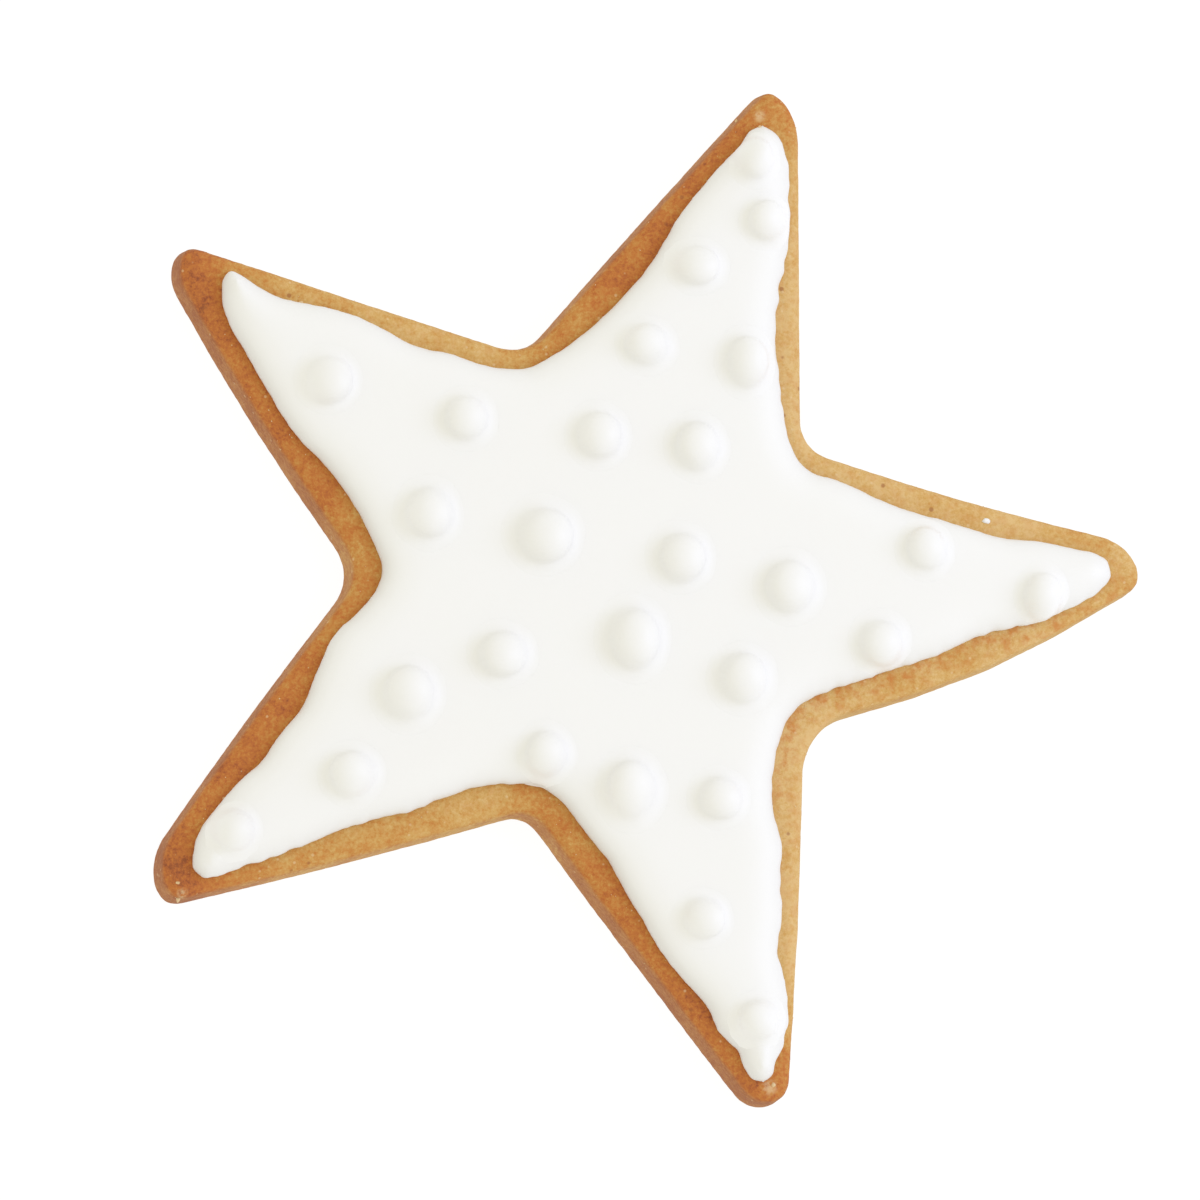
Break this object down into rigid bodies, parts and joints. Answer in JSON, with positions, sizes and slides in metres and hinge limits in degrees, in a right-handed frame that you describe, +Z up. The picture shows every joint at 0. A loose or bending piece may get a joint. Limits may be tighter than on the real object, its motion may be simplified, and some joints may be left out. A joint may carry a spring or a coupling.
{
  "type": "iced sugar cookie",
  "caption": "Star-shaped sugar cookie with five rounded points, flooded with smooth white icing inside a bare baked rim and dotted with small piped beads of the same icing.",
  "frame": {"origin": "middle of the outline's bounding box, on the surface that the cookie lies on", "axes": "+Z up through the icing, the cookie lying flat; one arm of the star points along +X and another mostly along +Y"},
  "size_m": [0.0898, 0.0916, 0.0101],
  "materials": {
    "biscuit": "matt, fine-grained baked biscuit, browner at its sides and tips",
    "icing": "smooth set royal icing, satin"
  },
  "bodies": {
    "root": {"biscuit": "biscuit", "icing": "icing", "bead_01": "icing", "bead_02": "icing", "bead_03": "icing", "bead_04": "icing", "bead_05": "icing", "bead_06": "icing", "bead_07": "icing", "bead_08": "icing", "bead_09": "icing", "bead_10": "icing", "bead_11": "icing", "bead_12": "icing", "bead_13": "icing", "bead_14": "icing", "bead_15": "icing", "bead_16": "icing", "bead_17": "icing", "bead_18": "icing", "bead_19": "icing", "bead_20": "icing", "bead_21": "icing", "bead_22": "icing", "bead_23": "icing", "bead_24": "icing", "bead_25": "icing", "bead_26": "icing", "bead_27": "icing"}
  },
  "joints": []
}
